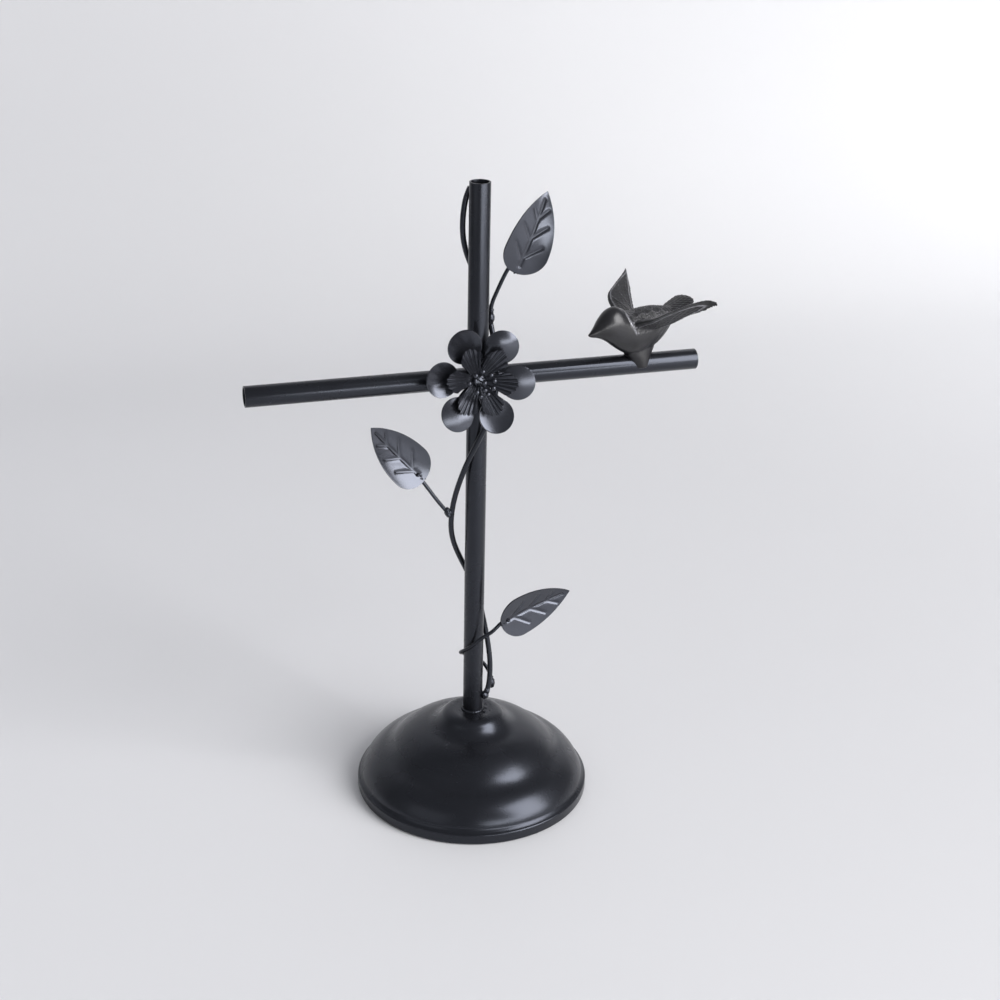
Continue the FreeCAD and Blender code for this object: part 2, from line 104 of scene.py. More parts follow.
# Each stem's route before it reaches its leaf.
STEM_STARTS = {
    "upper": [Vector((7.7, 1.8, 321.5)), Vector((8.0, 1.5, 328.5)), Vector((11.4, 0.7, 337.5))],
    "middle": [Vector((-16.4, 4.0, 195.0)), Vector((-20.3, 4.3, 200.2)), Vector((-24.2, 4.6, 205.4))],
    "lower": ([polar(*place) for place in TENDRIL_ROUTE]
              + [Vector((4.6, -12.9, 114.8)), Vector((8.6, -13.9, 117.6))]),
}
LEAF_FRAMES = {name: frame_at(base, Vector(tip) - Vector(base), facing)
               for name, (base, tip, facing, bow, fold) in LEAVES.items()}
FLOWER_FRAME = (Matrix.Translation((-2.6, -9.6, 286.9)) @ Matrix.Rotation(math.radians(80.0), 4, "X")
                @ Matrix.Rotation(math.radians(-7.0), 4, "Z"))
BIRD_FRAME = Matrix.Translation((102.0, 0.0, 291.35)) @ Matrix.Rotation(math.radians(200.0), 4, "Z")


# ---- sizes and finishes that a user would change ------------------------------------------
def length(name, description, default):
    return bpy.props.FloatProperty(name=name, description=description, default=default,
                                   min=0.0, unit="LENGTH", subtype="DISTANCE", precision=4)


def share(name, description, default):
    return bpy.props.FloatProperty(name=name, description=description, default=default,
                                   min=0.0, max=1.0, subtype="FACTOR")


def colour(name, description, default):
    return bpy.props.FloatVectorProperty(name=name, description=description, default=default,
                                         size=3, min=0.0, max=1.0, subtype="COLOR")


class StandSizes(bpy.types.PropertyGroup):
    tube_radius: length("Tube radius", "Outside radius of the post and arms", 0.00635)
    tube_wall: length("Tube wall", "Wall thickness of the post and arms", 0.001)
    height: length("Height", "Floor to the open top of the post", CAD_HIGH.z)
    bar_height: length("Bar height", "Floor to the axis of the arms", 0.285)
    arm_reach: length("Arm reach", "Post axis to the open end of an arm", 0.1405)
    base_radius: length("Base radius", "Outside radius of the stepped base", 0.0755)
    vine_radius: length("Vine radius", "Radius of the vine's wire", 0.0017)
    stem_radius: length("Stem radius", "Radius of a leaf stem's wire", 0.0012)
    leaf_length: length("Leaf length", "Base to tip of a leaf", 0.0512)
    leaf_half_width: length("Leaf half width", "Midrib to the widest edge of a leaf", 0.0140)
    leaf_sheet: length("Leaf sheet", "Thickness of a leaf", 0.0008)
    petal_round: length("Petal radius", "Radius of an outer petal's round end", 0.0105)
    petal_centre: length("Petal centre", "Flower axis to the middle of a petal's round end", 0.0242)
    fan_reach: length("Fan reach", "Flower axis to the tip of an inner fan", 0.0250)
    bead_radius: length("Bead radius", "Radius of a stamen's ball tip", 0.00165)
    flower_sheet: length("Flower sheet", "Thickness of the petals", 0.0007)


class StandFinishes(bpy.types.PropertyGroup):
    coat: colour("Powder coat", "Colour of the black coat on tubes, base and wires", (0.0058, 0.0060, 0.0074))
    coat_roughness: share("Coat roughness", "Roughness of the black coat", 0.27)
    leaf: colour("Leaf coat", "Colour of the smooth black coat on the leaves", (0.0085, 0.0088, 0.0108))
    leaf_roughness: share("Leaf roughness", "Roughness of the leaves", 0.20)
    petal: colour("Petal coat", "Colour of the smooth black coat on the flower", (0.0075, 0.0078, 0.0096))
    petal_roughness: share("Petal roughness", "Roughness of the flower", 0.24)
    bird: colour("Bird patina", "Dark patina of the cast bird", (0.0075, 0.0075, 0.0090))
    bird_worn: colour("Bird wear", "Lighter metal on the bird's raised edges", (0.24, 0.24, 0.26))
    bird_roughness: share("Bird roughness", "Roughness of the bird's patina", 0.34)
    floor: colour("Floor", "Colour of the pale floor", (0.64, 0.642, 0.655))


def sizes():
    return bpy.context.scene.stand_sizes


def finishes():
    return bpy.context.scene.stand_finishes


# ---- shader nodes written as expressions ---------------------------------------------------
class Value:
    """A node's output. Sums, products and the like on it add Math nodes."""

    def __init__(self, paint, socket):
        self.paint, self.socket = paint, socket

    def maths(self, operation, *others):
        operands = dict(enumerate((self,) + others))
        return self.paint.add("ShaderNodeMath", {"operation": operation}, operands)

    def __add__(self, other):
        return self.maths("ADD", other)

    __radd__ = __add__

    def __mul__(self, other):
        return self.maths("MULTIPLY", other)

    __rmul__ = __mul__

    def __sub__(self, other):
        return self.maths("SUBTRACT", other)

    def __rsub__(self, other):
        return self.paint.add("ShaderNodeMath", {"operation": "SUBTRACT"}, {0: other, 1: self})

    def clamped(self):
        return self.maths("MINIMUM", 1.0).maths("MAXIMUM", 0.0)

    def step(self, low, high):
        """0 below low, 1 above high, smooth between them."""
        return self.paint.add("ShaderNodeMapRange", {"interpolation_type": "SMOOTHSTEP"},
                              {"Value": self, "From Min": low, "From Max": high})


class Paint:
    """One material and the nodes in it."""

    def __init__(self, name, **constants):
        self.material = bpy.data.materials.new(name)
        self.material.use_nodes = True
        self.tree = self.material.node_tree
        self.tree.nodes.clear()
        self.surface = self.tree.nodes.new("ShaderNodeBsdfPrincipled")
        output = self.tree.nodes.new("ShaderNodeOutputMaterial")
        self.tree.links.new(self.surface.outputs[0], output.inputs["Surface"])
        for socket, constant in constants.items():
            self.surface.inputs[socket.replace("_", " ")].default_value = constant
        self.place = self.add("ShaderNodeTexCoord", {}, {}, "Object")

    def add(self, kind, settings, sockets, out=0):
        node = self.tree.nodes.new(kind)
        for setting, wanted in settings.items():
            if setting == "stops":
                ramp = node.color_ramp.elements
                while len(ramp) < len(wanted):
                    ramp.new(0.5)
                for element, (position, shade) in zip(ramp, wanted):
                    element.position, element.color = position, (*shade, 1.0)
            else:
                setattr(node, setting, wanted)
        self.feed(node, sockets)
        return Value(self, node.outputs[out])

    def feed(self, node, sockets):
        for name, wanted in sockets.items():
            if isinstance(wanted, Value):
                self.tree.links.new(wanted.socket, node.inputs[name])
            else:
                node.inputs[name].default_value = wanted

    def noise(self, scale, detail=2.0, roughness=0.5, place=None):
        return self.add("ShaderNodeTexNoise", {}, {"Vector": place or self.place, "Scale": scale,
                                                   "Detail": detail, "Roughness": roughness})

    def mix(self, factor, first, second):
        """Colours first and second, mixed by factor."""
        colours = [shade if isinstance(shade, Value) else (*shade, 1.0) for shade in (first, second)]
        return self.add("ShaderNodeMix", {"data_type": "RGBA"}, {0: factor, 6: colours[0], 7: colours[1]}, 2)

    def bump(self, height, distance, strength=1.0):
        return self.add("ShaderNodeBump", {}, {"Height": height, "Distance": distance, "Strength": strength})

    def stretched(self, scale):
        """Object coordinates drawn out by a scale along each axis."""
        return self.add("ShaderNodeMapping", {}, {"Vector": self.place, "Scale": scale})

    def near(self, point, reach):
        """1 at a point, falling smoothly to 0 at the reach from it."""
        offset = self.add("ShaderNodeVectorMath", {"operation": "DISTANCE"},
                          {0: self.place, 1: point}, "Value")
        return 1.0 - offset.step(0.0, reach)

    def finish(self, **sockets):
        self.feed(self.surface, {name.replace("_", " "): wanted for name, wanted in sockets.items()})
        return self.material


def lighter(shade, times):
    return tuple(min(1.0, part * times) for part in shade)


def black_coat(name, shade, roughness, weld_spots=()):
    """Black powder coat: fine orange peel, slow drifts in gloss, a few dust specks. Round a
    weld the coat is rough and spattered."""
    paint = Paint(name, IOR=1.5, Specular_Tint=(0.78, 0.84, 1.0, 1.0))
    drift = paint.noise(38.0, 3.0, 0.55)
    peel = paint.noise(1500.0, 2.0, 0.5)
    grit = paint.noise(5200.0, 1.0, 0.5)
    specks = paint.noise(2300.0, 0.0).step(0.79, 0.84)
    spatter_zone = 0.0
    for point, reach in weld_spots:
        spot = paint.near(point, reach)
        spatter_zone = spot if spatter_zone == 0.0 else spatter_zone.maths("MAXIMUM", spot)
    gloss = drift * 0.10 + (roughness - 0.05)
    height = peel * 0.6 + grit * 0.25
    tone = (drift * 0.9 + peel * 0.35 - 0.3).clamped()
    base = paint.mix(tone, lighter(shade, 0.8), lighter(shade, 1.35))
    if weld_spots:
        lumps = paint.noise(900.0, 3.0, 0.6).step(0.35, 0.75)
        height = height + lumps * spatter_zone * 7.0
        gloss = gloss + lumps * spatter_zone * 0.16
        base = paint.mix(lumps * spatter_zone * 0.5, base, lighter(shade, 2.2))
    base = paint.mix(specks * 0.35, base, lighter(shade, 4.0))
    return paint.finish(Base_Color=base, Roughness=gloss, Normal=paint.bump(height, 0.00003, 0.55))


def smooth_coat(name, shade, roughness, streak_scale):
    """Smoother black coat on pressed sheet: faint drawing lines, soft cloudiness, a painted
    highlight along the pressed ridges, and painted shade and a little more roughness in the grooves."""
    paint = Paint(name, IOR=1.72, Specular_Tint=(0.80, 0.85, 1.0, 1.0))
    relief = paint.add("ShaderNodeAttribute", {"attribute_name": "relief"}, {}, "Fac")
    cloud = paint.noise(70.0, 3.0, 0.5)
    streak = paint.noise(1.0, 2.0, 0.5, paint.stretched(streak_scale))
    fine = paint.noise(3600.0, 2.0, 0.5)
    ridge = relief.step(0.55, 0.95)
    groove_shade_and_roughness = 1.0 - relief.step(0.08, 0.45)
    base = paint.mix((cloud * 0.8 + streak * 0.3 - 0.15).clamped(), lighter(shade, 0.75), lighter(shade, 1.5))
    # painted highlight: the coat is painted up to three times lighter along the pressed ridges
    base = paint.mix(ridge * 0.3, base, lighter(shade, 3.0))
    # painted shade: the coat is painted darker in the grooves
    base = paint.mix(groove_shade_and_roughness * 0.5, base, lighter(shade, 0.4))
    gloss = cloud * 0.07 + streak * 0.03 + groove_shade_and_roughness * 0.10 + (roughness - 0.05)
    return paint.finish(Base_Color=base, Roughness=gloss,
                        Normal=paint.bump(streak * 0.7 + fine * 0.3, 0.00002, 0.5))


def cast_patina(name, dark, worn, roughness):
    """Cast metal with a dark patina rubbed pale on the raised feather edges."""
    paint = Paint(name, IOR=1.5)
    relief = paint.add("ShaderNodeAttribute", {"attribute_name": "relief"}, {}, "Fac")
    feathered = paint.add("ShaderNodeAttribute", {"attribute_name": "feathered"}, {}, "Fac")
    blotch = paint.noise(110.0, 4.0, 0.6)
    pit = paint.noise(1900.0, 3.0, 0.6)
    rub = paint.noise(420.0, 3.0, 0.6).step(0.38, 0.66)
    edge = relief.step(0.52, 0.95)
    wear = (edge * (rub * 0.6 + 0.4) + feathered * rub * 0.05).clamped()
    base = paint.mix(blotch.step(0.3, 0.7), lighter(dark, 0.7), lighter(dark, 1.6))
    base = paint.mix(wear, base, worn)
    metal = wear * 0.6 + 0.05
    gloss = blotch * 0.10 + pit * 0.08 + feathered * 0.12 - wear * 0.04 + (roughness - 0.12)
    height = pit * (feathered * 1.2 + 0.5) + paint.noise(700.0, 2.0) * 0.8
    return paint.finish(Base_Color=base, Metallic=metal, Roughness=gloss,
                        Normal=paint.bump(height, 0.00007, 0.7))


def rubber(name):
    """Matt grained rubber."""
    paint = Paint(name, IOR=1.5)
    grain = paint.noise(2400.0, 3.0, 0.6)
    base = paint.mix(grain.step(0.3, 0.7), (0.012, 0.012, 0.012), (0.030, 0.030, 0.031))
    return paint.finish(Base_Color=base, Roughness=grain * 0.15 + 0.72,
                        Normal=paint.bump(grain, 0.00006, 0.6))


def rough_iron(name):
    """Iron as cast, with a coarse sandy skin."""
    paint = Paint(name, IOR=1.5)
    grain = paint.noise(600.0, 4.0, 0.65)
    base = paint.mix(grain.step(0.3, 0.7), (0.05, 0.05, 0.05), (0.14, 0.135, 0.13))
    return paint.finish(Base_Color=base, Metallic=0.6, Roughness=grain * 0.2 + 0.55,
                        Normal=paint.bump(grain, 0.0002, 0.7))


def floor_paint(name, shade):
    paint = Paint(name, IOR=1.45)
    cloud = paint.noise(3.0, 2.0, 0.5)
    base = paint.mix(cloud, lighter(shade, 0.985), lighter(shade, 1.01))
    # painted pool of light: the floor is painted up to 40 % lighter round a point to the stand's left
    base = paint.mix(paint.near((-1.0, 0.3, 0.0), 1.6), base, lighter(shade, 1.40))
    return paint.finish(Base_Color=base, Roughness=0.62)


def dress(piece, material):
    piece.data.materials.clear()
    piece.data.materials.append(material)


# ---- modelling helpers ---------------------------------------------------------------------
def fresh(name, add, **settings):
    """Adds a primitive with nothing else selected, and names it."""
    bpy.ops.object.select_all(action="DESELECT")
    add(**settings)
    piece = bpy.context.object
    piece.name = piece.data.name = name
    bpy.ops.object.transform_apply(location=True, rotation=True, scale=True)
    return piece


def only(piece):
    bpy.ops.object.select_all(action="DESELECT")
    piece.select_set(True)
    bpy.context.view_layer.objects.active = piece


def applied(piece, kind, **settings):
    """Adds a modifier with its settings and applies it."""
    only(piece)
    modifier = piece.modifiers.new(kind.title(), kind)
    for setting, wanted in settings.items():
        setattr(modifier, setting, wanted)
    bpy.ops.object.modifier_apply(modifier=modifier.name)


def edited(piece, *steps):
    """Runs operators on the whole of a piece in edit mode, each given with its settings."""
    only(piece)
    bpy.ops.object.mode_set(mode="EDIT")
    bpy.ops.mesh.select_all(action="SELECT")
    for operator, settings in steps:
        operator(**settings)
    bpy.ops.object.mode_set(mode="OBJECT")


def tidied(piece, merge=0.00001, outward=True):
    """Merges doubles and turns every face outwards."""
    steps = [(bpy.ops.mesh.remove_doubles, {"threshold": merge}),
             (bpy.ops.mesh.dissolve_degenerate, {"threshold": merge})]
    if outward:
        steps.append((bpy.ops.mesh.normals_make_consistent, {"inside": False}))
    edited(piece, *steps)


def faced(piece, facing):
    """Turns an open sheet's faces over where they look away from the way it faces."""
    if sum(polygon.normal.dot(facing) * polygon.area for polygon in piece.data.polygons) < 0:
        edited(piece, (bpy.ops.mesh.flip_normals, {}))


def bevelled(piece, width, segments, angle_deg):
    """Rounds every edge sharper than an angle."""
    applied(piece, "BEVEL", width=width, segments=segments, limit_method="ANGLE",
            angle_limit=math.radians(angle_deg))


def smoothed(piece, angle_deg):
    only(piece)
    bpy.ops.object.shade_smooth_by_angle(angle=math.radians(angle_deg))


def joined(name, pieces):
    only(pieces[0])
    for piece in pieces:
        piece.select_set(True)
    bpy.ops.object.join()
    piece = bpy.context.object
    piece.name = piece.data.name = name
    return piece


def spread(name, across, along, place):
    """A grid primitive whose every point is moved to place(u, v), u and v from 0 to 1, in
    millimetres."""
    piece = fresh(name, bpy.ops.mesh.primitive_grid_add, size=1.0,
                  x_subdivisions=across, y_subdivisions=along)
    for vertex in piece.data.vertices:
        u = min(1.0, max(0.0, vertex.co.x + 0.5))
        v = min(1.0, max(0.0, vertex.co.y + 0.5))
        vertex.co = Vector(place(u, v)) * MM
    piece.data.update()
    return piece


def wrapped(name, along, around, place):
    """As spread, with v running once round, so that the two long edges close up."""
    piece = spread(name, along, around, place)
    tidied(piece)
    return piece


def store(piece, name, values):
    """Keeps one number for each vertex, for the materials to read."""
    attribute = piece.data.attributes.get(name) or piece.data.attributes.new(name, "FLOAT", "POINT")
    attribute.data.foreach_set("value", values)


def smooth_step(low, high, value):
    share_done = min(1.0, max(0.0, (value - low) / (high - low)))
    return share_done * share_done * (3.0 - 2.0 * share_done)


def through(stops, position):
    """Smooth curve through (position, value, value...) stops, which are in rising order."""
    last = len(stops) - 1
    if position <= stops[0][0]:
        return stops[0][1:]
    if position >= stops[last][0]:
        return stops[last][1:]
    k = max(i for i in range(last) if stops[i][0] <= position)
    before, start, end, after = stops[max(0, k - 1)], stops[k], stops[k + 1], stops[min(last, k + 2)]
    span = end[0] - start[0]
    t = (position - start[0]) / span
    values = []
    for axis in range(1, len(start)):
        slope_in = (end[axis] - before[axis]) / max(1e-6, end[0] - before[0]) * span
        slope_out = (after[axis] - start[axis]) / max(1e-6, after[0] - start[0]) * span
        values.append((2 * t ** 3 - 3 * t ** 2 + 1) * start[axis] + (t ** 3 - 2 * t ** 2 + t) * slope_in
                      + (3 * t ** 2 - 2 * t ** 3) * end[axis] + (t ** 3 - t ** 2) * slope_out)
    return values


def arc_points(first, middle, last, count):
    """Points along the circle through three points in a plane."""
    (ax, ay), (bx, by), (cx, cy) = first, middle, last
    d = 2 * (ax * (by - cy) + bx * (cy - ay) + cx * (ay - by))
    ux = ((ax * ax + ay * ay) * (by - cy) + (bx * bx + by * by) * (cy - ay)
          + (cx * cx + cy * cy) * (ay - by)) / d
    uy = ((ax * ax + ay * ay) * (cx - bx) + (bx * bx + by * by) * (ax - cx)
          + (cx * cx + cy * cy) * (bx - ax)) / d
    radius = math.hypot(ax - ux, ay - uy)
    start, mid, end = (math.atan2(y - uy, x - ux) for x, y in (first, middle, last))
    turn, to_mid = (end - start) % math.tau, (mid - start) % math.tau
    if to_mid > turn:
        turn -= math.tau
    angles = [start + turn * k / count for k in range(count + 1)]
    return [(ux + radius * math.cos(angle), uy + radius * math.sin(angle)) for angle in angles]


def turned(name, profile, segments):
    """A closed solid of revolution from (radius, height) points in millimetres, by spinning
    their outline about the post's axis."""
    piece = fresh(name, bpy.ops.mesh.primitive_circle_add, vertices=len(profile), radius=1.0)
    for vertex, (radius, height) in zip(piece.data.vertices, profile):
        vertex.co = Vector((radius, 0.0, height)) * MM
    edited(piece, (bpy.ops.mesh.spin, {"steps": segments, "angle": math.tau,
                                       "center": (0, 0, 0), "axis": (0, 0, 1)}))
    tidied(piece, 0.000004)
    return piece


def wire(name, points, radius, resolution=8, around=5):
    """Round wire on a smooth spline whose control points are given in millimetres."""
    curve = bpy.data.curves.new(name, "CURVE")
    curve.dimensions = "3D"
    curve.bevel_depth, curve.bevel_resolution, curve.use_fill_caps = radius, around, True
    curve.resolution_u = resolution
    spline = curve.splines.new("NURBS")
    spline.points.add(len(points) - 1)
    for control, point in zip(spline.points, points):
        control.co = (*(point * MM), 1.0)
    spline.order_u, spline.use_endpoint_u = 3, True
    piece = bpy.data.objects.new(name, curve)
    bpy.context.scene.collection.objects.link(piece)
    only(piece)
    bpy.ops.object.convert(target="MESH")
    piece = bpy.context.object
    piece.name = piece.data.name = name
    tidied(piece)
    smoothed(piece, 60.0)
    return piece


def lump(name, centre, size, stretch=(1, 1, 1), along=(0, 0, 1), seed=0.0, rough=0.16):
    """Blob of weld metal: a ball pushed in and out by slow and fine noise."""
    piece = fresh(name, bpy.ops.mesh.primitive_ico_sphere_add, subdivisions=5, radius=1.0)
    turn = Vector((0, 0, 1)).rotation_difference(Vector(along)).to_matrix()
    for vertex in piece.data.vertices:
        way = vertex.co.normalized()
        swell = 1.0 + rough * noise.noise(way * 1.7 + Vector((seed, 3.1, 7.7)))
        swell += 0.35 * rough * noise.noise(way * 5.3 + Vector((seed, 9.2, 1.4)))
        local = Vector((way.x * stretch[0], way.y * stretch[1], way.z * stretch[2])) * (size * swell)
        vertex.co = (Vector(centre) + turn @ local) * MM
    smoothed(piece, 60.0)
    return piece


def bead(name, path, size, ripples, seed):
    """Weld bead along path(s), s from 0 to 1, in millimetres: a rippled, slightly uneven roll."""
    def place(u, v):
        here = Vector(path(u))
        ahead = (Vector(path(u + 0.002)) - Vector(path(u - 0.002))).normalized()
        out = Vector((here.x, here.y, 0.0))
        side = ahead.cross(out).normalized()
        up = side.cross(ahead)
        ripple = 1.0 + 0.10 * abs(math.sin(math.pi * ripples * u)) - 0.05
        ripple += 0.16 * noise.noise(here * 0.35 + Vector((seed, 0, 0)))
        ring = u * math.tau
        ripple += 0.05 * noise.noise(Vector((math.cos(ring) * 9, math.sin(ring) * 9, v * 3 + seed)))
        angle = v * math.tau
        return here + (side * math.cos(angle) + up * math.sin(angle)) * (size * ripple)

    piece = wrapped(name, 420, 18, place)
    smoothed(piece, 70.0)
    return piece


def finished(piece, material, slot, *nodes):
    """Gives a finished piece its material, ties it to the stand and hides the CAD pieces it
    stands for."""
    dress(piece, material)
    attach(piece, "root")
    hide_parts(*nodes)


# ---- pieces --------------------------------------------------------------------------------
def tube_piece(name, start_height, end_height):
    """Upright open tube with softly rounded ends, built from a cylinder."""
    radius, wall = sizes().tube_radius, sizes().tube_wall
    piece = fresh(name, bpy.ops.mesh.primitive_cylinder_add, vertices=96, radius=radius,
                  depth=end_height - start_height, end_fill_type="NOTHING",
                  location=(0, 0, (start_height + end_height) / 2))
    applied(piece, "SOLIDIFY", thickness=wall, offset=-1.0)
    tidied(piece)
    bevelled(piece, 0.00022, 3, 50)
    return piece


class STAND_OT_base(bpy.types.Operator):
    """Spins the stepped base and colours its pad and weight"""
    bl_idname = "stand.base"
    bl_label = "Add base"

    def execute(self, context):
        tiers = [
            ((12.0, 55.0), (16.6, 54.2), (19.8, 51.7)), ((19.8, 51.7), (24.0, 47.0), (30.0, 43.9)),
            ((30.0, 43.9), (42.6, 38.6), (51.0, 31.6)), ((51.0, 31.6), (54.2, 28.4), (59.0, 25.4)),
            ((59.0, 25.4), (67.4, 19.1), (72.3, 10.8)),
            ((72.3, 10.8), (73.3, 8.6), (74.5, 7.5)), ((74.5, 7.5), (75.2, 7.05), (75.48, 6.2)),
            ((75.48, 1.3), (75.2, 0.7), (74.8, 0.5)),
        ]
        outline = [(0.0, CROWN_HEIGHT), (5.0, CROWN_HEIGHT)]
        for tier in tiers:
            outline += [point for point in arc_points(*tier, 12) if point != outline[-1]]
        sheet = 1.2
        inner = [(max(0.0, r - sheet), z - sheet) for r, z in reversed(outline[:-13])]
        profile = outline + [(75.48 - sheet, 0.5)] + inner
        piece = turned("base_shell", profile, 192)
        smoothed(piece, 50.0)
        coat = black_coat("powder coat on base", finishes().coat, finishes().coat_roughness,
                          [((0.007, -0.004, 0.055), 0.014)])
        finished(piece, coat, "frame_black", "base_dome")
        dress(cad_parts["foot_pad"], rubber("foot rubber"))
        dress(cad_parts["base_ballast"], rough_iron("weight iron"))
        return {"FINISHED"}


class STAND_OT_tubes(bpy.types.Operator):
    """Builds the post and the two arms from open tube"""
    bl_idname = "stand.tubes"
    bl_label = "Add tubes"

    def execute(self, context):
        s = sizes()
        coat = black_coat("powder coat on tubes", finishes().coat, finishes().coat_roughness,
                          [((0.0, 0.0, 0.285), 0.016), ((0.004, -0.005, 0.057), 0.010)])
        post = tube_piece("post_tube", CROWN_HEIGHT * MM, s.height)
        smoothed(post, 30.0)
        finished(post, coat, "frame_black", "post")
        seat = s.tube_radius - 0.0004
        for name, side in (("left", -1), ("right", 1)):
            arm = tube_piece(name + "_arm_tube", 0.0, s.arm_reach)
            for vertex in arm.data.vertices:
                across, reach, up = vertex.co.x, vertex.co.z, vertex.co.y
                if reach < 0.002:
                    reach += math.sqrt(max(0.0, seat ** 2 - across ** 2))
                vertex.co = (side * reach, side * across, s.bar_height + up)
            tidied(arm)
            smoothed(arm, 30.0)
            finished(arm, coat, "frame_black", name + "_arm")
        return {"FINISHED"}


class STAND_OT_welds(bpy.types.Operator):
    """Lays the rippled beads at the crossing and where the post meets the base"""
    bl_idname = "stand.welds"
    bl_label = "Add tube welds"

    def execute(self, context):
        coat = black_coat("powder coat on welds", lighter(finishes().coat, 1.3), finishes().coat_roughness)
        radius = sizes().tube_radius / MM + 0.25
        bar = sizes().bar_height / MM
        for name, side in (("left", -1), ("right", 1)):
            def saddle(u, side=side):
                turn = u * math.tau
                out = math.sqrt(math.cos(turn) ** 2 + 0.0009)
                return side * radius * out, radius * math.sin(turn), bar + radius * math.cos(turn)

            piece = bead(name + "_arm_bead", saddle, 1.15, 26, seed=2.0 + side)
            finished(piece, coat, "frame_black", name + "_arm_weld")

        def foot_ring(u):
            turn = u * math.tau
            return radius * math.cos(turn), radius * math.sin(turn), CROWN_HEIGHT + 0.25

        pieces = [bead("post_bead", foot_ring, 0.95, 22, seed=5.0)]
        spots = [(-50, 9.3, 1.05), (-18, 8.6, 0.8), (12, 9.5, 0.7),
                 (-85, 8.7, 0.6), (-33, 11.6, 0.5), (2, 12.2, 0.55)]
        for index, (angle, distance, size) in enumerate(spots):
            pieces.append(lump(f"spatter_{index}", polar(angle, distance, CROWN_HEIGHT + 0.05), size,
                               stretch=(1, 1, 0.55), seed=index * 1.7, rough=0.35))
        finished(joined("post_bead", pieces), coat, "frame_black", "post_weld")
        return {"FINISHED"}


def stem_points(leaf):
    """A stem's route, ending under its leaf."""
    bow, middle = LEAVES[leaf][3], sizes().leaf_length / MM / 2
    end = []
    for x, side, drop in ((0.0, 1.0, 1.9), (3.5, 0.7, 2.4), (6.5, 0.4, 2.7)):
        sheet = bow * ((x - middle) ** 2 - middle ** 2)
        end.append(LEAF_FRAMES[leaf] @ Vector((x, side * STEM_ENTRY[leaf], sheet - drop)))
    return STEM_STARTS[leaf] + end


class STAND_OT_vine(bpy.types.Operator):
    """Winds the vine round the post, adds the leaf stems and their welds"""
    bl_idname = "stand.vine"
    bl_label = "Add vine"

    def execute(self, context):
        s, f = sizes(), finishes()
        coat = black_coat("powder coat on vine", f.coat, f.coat_roughness)
        rough = black_coat("powder coat on knots", lighter(f.coat, 1.2), f.coat_roughness - 0.04)
        vine = wire("vine_wire", [polar(*place) for place in VINE_ROUTE], s.vine_radius, 8, 7)
        finished(vine, coat, "vine_black", "vine")
        knots = {
            # middle, size, stretch, long way, second blob's shift
            "upper": ((8.0, 0.6, 321.0), 2.2, (0.95, 0.9, 1.7), (0.16, 0.0, 1.0), (0.3, 0.3, 4.6)),
            "middle": ((-16.1, 3.6, 195.2), 2.6, (1.0, 0.95, 1.25), (-0.5, 0.0, 0.8), (-0.9, 0.1, 2.0)),
            "lower": ((12.1, -1.9, 73.2), 2.1, (0.95, 0.95, 1.8), (0.0, 0.05, 1.0), (-0.3, 0.2, 3.4)),
        }
        for leaf in LEAVES:
            stem = wire(leaf + "_stem_wire", stem_points(leaf), s.stem_radius, 8, 6)
            finished(stem, coat, "vine_black", leaf + "_stem")
            middle, size, stretch, along, shift = knots[leaf]
            first = lump("knot", middle, size, stretch, along, seed=len(leaf) * 1.3)
            second = lump("knot_end", Vector(middle) + Vector(shift), 0.66 * size, (1, 1, 1.3), along,
                          seed=len(leaf) * 2.9, rough=0.22)
            knot = joined(leaf + "_knot_weld", [first, second])
            finished(knot, rough, "vine_black", leaf + "_knot")
            tacks = []
            for k in range(2):
                place = LEAF_FRAMES[leaf] @ Vector((1.9 + 3.6 * k, STEM_ENTRY[leaf] * (0.85 - 0.3 * k), -1.3))
                tacks.append(lump("tack", place, 1.25, (1.4, 1.0, 0.8), seed=k * 4.1 + 0.7, rough=0.3))
            finished(joined(leaf + "_tack_welds", tacks), rough, "vine_black", leaf + "_leaf_tacks")
        top = lump("vine_top_blob", polar(112, 7.4, 399.0), 1.7, (1.0, 0.8, 1.6), seed=8.1)
        finished(top, rough, "vine_black", "vine_top_weld")
        foot = joined("vine_foot_blob", [
            lump("foot", polar(-28, 7.9, 65.8), 2.5, (1.0, 0.95, 1.15), seed=6.3),
            lump("foot_run", polar(-24, 9.2, 68.6), 1.9, (1.0, 1.0, 1.3), seed=3.6)])
        finished(foot, rough, "vine_black", "vine_foot_weld")
        return {"FINISHED"}


def leaf_half_width():
    """Half width of a leaf at a distance from its base, as a function, in millimetres."""
    total, widest = sizes().leaf_length / MM, sizes().leaf_half_width / MM
    outline = arc_points((0.0, 0.0), (0.05 * total, 0.6 * widest), (0.24 * total, widest), 24)
    outline += arc_points((0.24 * total, widest), (0.66 * total, 0.74 * widest), (total, 0.0), 40)[1:]

    def half_width(x):
        for (x0, y0), (x1, y1) in zip(outline, outline[1:]):
            if x <= x1:
                return y0 + (y1 - y0) * (x - x0) / max(1e-9, x1 - x0)
        return 0.0
    return half_width


def segment_distance(x, y, start, end):
    """Distance from a point to a run, and how far along the run its foot is, 0 to 1."""
    run_x, run_y = end[0] - start[0], end[1] - start[1]
    along = ((x - start[0]) * run_x + (y - start[1]) * run_y) / (run_x ** 2 + run_y ** 2)
    held = min(1.0, max(0.0, along))
    return math.hypot(x - start[0] - held * run_x, y - start[1] - held * run_y), held


VEINS = [
    # start on the midrib, end towards the edge, as shares of the leaf's length and half width
    ((0.17, 0.0), (0.36, 0.62)), ((0.20, 0.0), (0.37, -0.60)),
    ((0.42, 0.0), (0.58, 0.56)), ((0.44, 0.0), (0.61, -0.52)),
    ((0.66, 0.0), (0.78, 0.34)), ((0.68, 0.0), (0.80, -0.32)),
]


